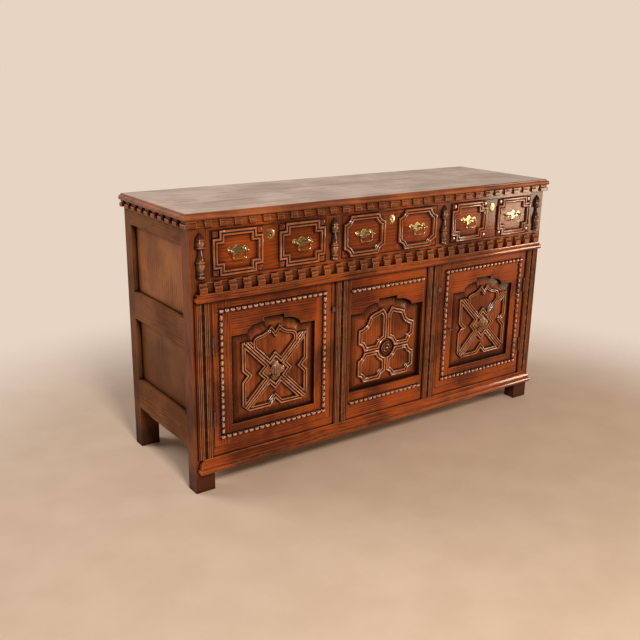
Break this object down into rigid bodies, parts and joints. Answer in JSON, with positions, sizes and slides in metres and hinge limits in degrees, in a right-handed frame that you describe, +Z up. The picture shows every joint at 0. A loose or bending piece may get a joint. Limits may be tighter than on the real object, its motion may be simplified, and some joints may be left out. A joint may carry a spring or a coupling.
{
  "type": "joined oak dresser base",
  "caption": "Low panelled oak sideboard with drawers in a row over cupboard doors and a fixed arched panel, carved with applied mouldings, beads and half-turned spindles.",
  "frame": {"origin": "on the floor, under the middle of the bounding box", "axes": "+X to the right as seen from the front, +Y towards the back, +Z up"},
  "size_m": [1.57, 0.494, 0.9],
  "materials": {
    "oak": "waxed and polished, worn on the edges",
    "oak_moulding": "polished, dark in the hollows",
    "oak_dark": "polished, darker than the frame",
    "oak_side": "duller than the front",
    "oak_top": "worn and greyed by use",
    "oak_raw": "unpolished",
    "aged_brass": "aged",
    "iron": "dark, worn bright on the edges"
  },
  "bodies": {
    "case": {"top_boards": "oak_top", "front_post_left": "oak", "front_post_right": "oak", "rear_post_left": "oak_side", "rear_post_right": "oak_side", "side_rails_left": "oak_side", "side_rails_right": "oak_side", "side_panels_left": "oak_side", "side_panels_right": "oak_side", "front_top_rail": "oak", "front_middle_rail": "oak", "front_bottom_rail": "oak", "drawer_muntins": "oak", "door_muntins": "oak", "cornice": "oak", "dentil_band": "oak", "waist_lip": "oak", "base_moulding": "oak", "split_spindles": "oak_dark", "reeded_strips": "oak", "centre_rails": "oak", "centre_panel": "oak", "centre_mouldings": "oak_moulding", "centre_beads": "oak_dark", "back_rails": "oak_raw", "back_boards": "oak_raw", "floor_boards": "oak_raw", "drawer_runners": "oak_raw", "post_hinges": "iron"},
    "drawer_left": {"drawer_front_left": "oak", "drawer_box_left": "oak_raw", "drawer_mouldings_left": "oak_moulding", "drawer_brasses_left": "aged_brass"},
    "bail_1": {"bail_1": "aged_brass"},
    "bail_2": {"bail_2": "aged_brass"},
    "drawer_centre": {"drawer_front_centre": "oak", "drawer_box_centre": "oak_raw", "drawer_mouldings_centre": "oak_moulding", "drawer_brasses_centre": "aged_brass"},
    "bail_3": {"bail_3": "aged_brass"},
    "bail_4": {"bail_4": "aged_brass"},
    "drawer_right": {"drawer_front_right": "oak", "drawer_box_right": "oak_raw", "drawer_mouldings_right": "oak_moulding", "drawer_brasses_right": "aged_brass"},
    "bail_5": {"bail_5": "aged_brass"},
    "bail_6": {"bail_6": "aged_brass"},
    "door_left": {"door_frame_left": "oak", "door_panel_left": "oak", "door_mouldings_left": "oak_moulding", "door_beads_left": "oak_dark", "door_iron_left": "iron"},
    "turn_button_left": {"turn_button_left": "iron"},
    "door_right": {"door_frame_right": "oak", "door_panel_right": "oak", "door_mouldings_right": "oak_moulding", "door_beads_right": "oak_dark", "door_iron_right": "iron"},
    "turn_button_right": {"turn_button_right": "iron"},
    "key": {"key": "iron"}
  },
  "joints": [
    {"name": "drawer_slide_left", "type": "slide", "parent": "case", "child": "drawer_left", "axis": [0, -1, 0], "range_m": [0, 0.3]},
    {"name": "bail_swing_1", "type": "hinge", "parent": "drawer_left", "child": "bail_1", "pos_m": [-0.60355, -0.236, 0.7765], "axis": [-1, 0, 0], "range_deg": [0, 95]},
    {"name": "bail_swing_2", "type": "hinge", "parent": "drawer_left", "child": "bail_2", "pos_m": [-0.36845, -0.236, 0.7765], "axis": [-1, 0, 0], "range_deg": [0, 95]},
    {"name": "drawer_slide_centre", "type": "slide", "parent": "case", "child": "drawer_centre", "axis": [0, -1, 0], "range_m": [0, 0.3]},
    {"name": "bail_swing_3", "type": "hinge", "parent": "drawer_centre", "child": "bail_3", "pos_m": [-0.11755, -0.236, 0.7765], "axis": [-1, 0, 0], "range_deg": [0, 95]},
    {"name": "bail_swing_4", "type": "hinge", "parent": "drawer_centre", "child": "bail_4", "pos_m": [0.11755, -0.236, 0.7765], "axis": [-1, 0, 0], "range_deg": [0, 95]},
    {"name": "drawer_slide_right", "type": "slide", "parent": "case", "child": "drawer_right", "axis": [0, -1, 0], "range_m": [0, 0.3]},
    {"name": "bail_swing_5", "type": "hinge", "parent": "drawer_right", "child": "bail_5", "pos_m": [0.36845, -0.236, 0.7765], "axis": [-1, 0, 0], "range_deg": [0, 95]},
    {"name": "bail_swing_6", "type": "hinge", "parent": "drawer_right", "child": "bail_6", "pos_m": [0.60355, -0.236, 0.7765], "axis": [-1, 0, 0], "range_deg": [0, 95]},
    {"name": "door_swing_left", "type": "hinge", "parent": "case", "child": "door_left", "pos_m": [-0.6965, -0.2246, 0.241], "axis": [0, 0, -1], "range_deg": [0, 105]},
    {"name": "turn_button_spin_left", "type": "hinge", "parent": "case", "child": "turn_button_left", "pos_m": [-0.241, -0.221, 0.53], "axis": [0, -1, 0], "range_deg": [0, 90]},
    {"name": "door_swing_right", "type": "hinge", "parent": "case", "child": "door_right", "pos_m": [0.6965, -0.2246, 0.241], "axis": [0, 0, 1], "range_deg": [0, 105]},
    {"name": "turn_button_spin_right", "type": "hinge", "parent": "case", "child": "turn_button_right", "pos_m": [0.241, -0.221, 0.53], "axis": [0, 1, 0], "range_deg": [0, 90]},
    {"name": "key_turn", "type": "hinge", "parent": "door_right", "child": "key", "pos_m": [0.296, -0.221, 0.374], "axis": [0, -1, 0], "range_deg": [0, 90]}
  ]
}
